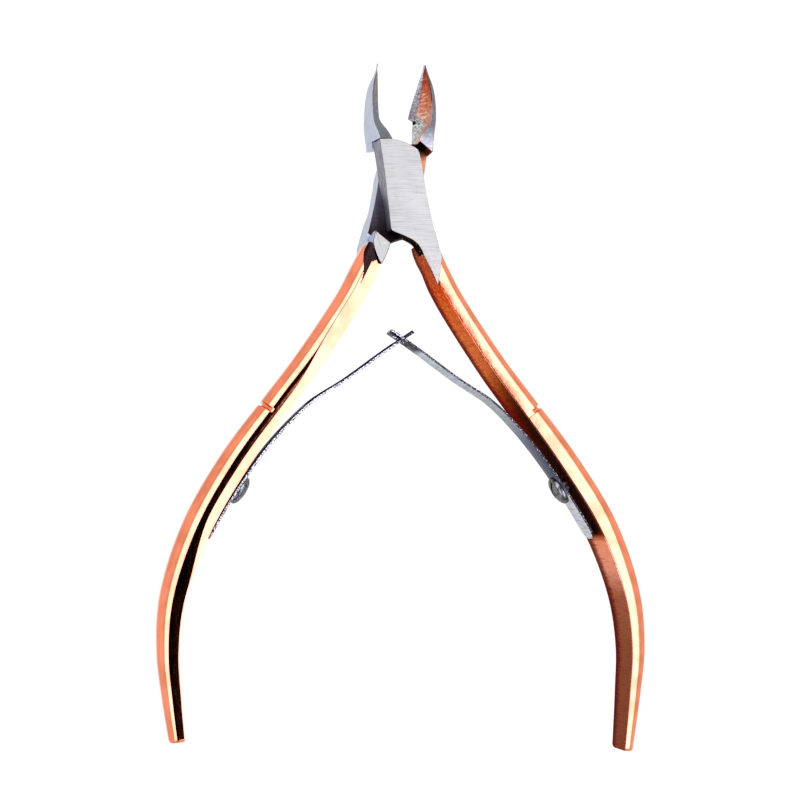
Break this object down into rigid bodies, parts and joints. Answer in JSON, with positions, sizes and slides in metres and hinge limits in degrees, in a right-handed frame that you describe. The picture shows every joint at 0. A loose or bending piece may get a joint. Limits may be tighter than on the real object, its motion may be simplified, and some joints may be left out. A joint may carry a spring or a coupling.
{
  "type": "cuticle nipper",
  "caption": "Lap-joint cuticle nipper with rose-gold plated handles, ground steel joint, hollow-ground jaws and an interlocking double leaf spring.",
  "frame": {"origin": "pivot axis at the ground rear face of the joint, on which the nipper lies", "axes": "+Z along the pivot from the rear face to the front face, +Y from the pivot towards the jaws, +X to the right handle seen from the front"},
  "size_m": [0.0748, 0.1057, 0.0084],
  "materials": {
    "rose_gold_plate": "rose-gold plated forging, polished outside and brushed inside, with bare ground steel at the joint and the jaws",
    "ground_steel": "fine straight surface grinding",
    "spring_steel": "rolled spring strip with bright sheared edges",
    "screw_nickel": "dark nickel, turned"
  },
  "bodies": {
    "rear_half": {"rear_half": "rose_gold_plate", "pivot_rivet": "ground_steel", "left_spring_foot": "spring_steel", "left_spring_screw": "screw_nickel"},
    "front_half": {"front_half": "rose_gold_plate", "right_spring_foot": "spring_steel", "right_spring_screw": "screw_nickel"},
    "left_spring": {"left_spring_arm": "spring_steel"},
    "right_spring": {"right_spring_arm": "spring_steel"}
  },
  "joints": [
    {"name": "pivot", "type": "hinge", "parent": "rear_half", "child": "front_half", "pos_m": [0, 0, 0.0042], "axis": [0, 0, -1], "range_deg": [0, 20], "stiffness_Nm_per_rad": 1.2},
    {"name": "left_spring_bend", "type": "hinge", "parent": "rear_half", "child": "left_spring", "pos_m": [-0.0175, -0.0356, 0.0042], "axis": [0, 0, 1], "range_deg": [0, 13]},
    {"name": "right_spring_bend", "type": "hinge", "parent": "front_half", "child": "right_spring", "pos_m": [0.0175, -0.0356, 0.0042], "axis": [0, 0, -1], "range_deg": [0, 13]}
  ],
  "couplings": [
    {"joint": "left_spring_bend", "follows": "pivot", "ratio": 0.635},
    {"joint": "right_spring_bend", "follows": "pivot", "ratio": 0.635}
  ]
}
